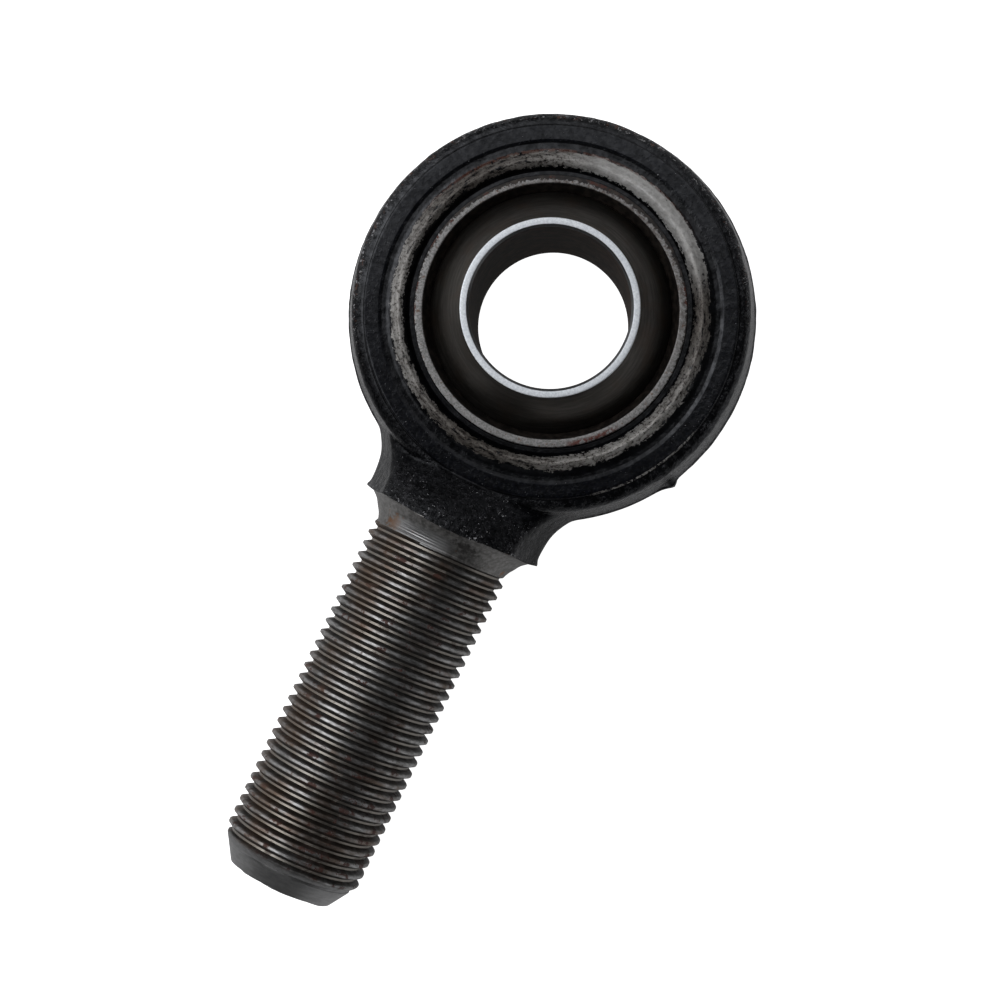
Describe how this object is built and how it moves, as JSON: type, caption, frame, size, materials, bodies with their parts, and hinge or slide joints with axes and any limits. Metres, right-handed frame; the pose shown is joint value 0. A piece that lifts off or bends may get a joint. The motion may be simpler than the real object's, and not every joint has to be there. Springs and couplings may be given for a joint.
{
  "type": "rod end bearing",
  "caption": "Heavy male rod end: forged round eye with a swaged-in spherical bearing, short drafted neck and a long right-hand threaded shank.",
  "frame": {"origin": "centre of the ball, on the axis of its bore", "axes": "+Z along the ball's bore towards the front face, +Y from the shank to the eye (the threaded shank points along -Y), +X to the right"},
  "size_m": [0.0664, 0.1351, 0.0308],
  "materials": {
    "forged_body": "black painted forging, worn to bare steel on the raised ring; bare turned thread with light rust",
    "race_steel": "bare turned steel",
    "ball_steel": "hardened steel, dark satin sphere with bright ground lands"
  },
  "bodies": {
    "eye": {"rod_end_body": "forged_body", "front_race_insert": "race_steel", "rear_race_insert": "race_steel"},
    "ball": {"ball": "ball_steel"}
  },
  "joints": [
    {"name": "ball_tilt", "type": "hinge", "parent": "eye", "child": "ball", "pos_m": [0, 0, 0], "axis": [1, 0, 0], "range_deg": [-15, 15]}
  ]
}
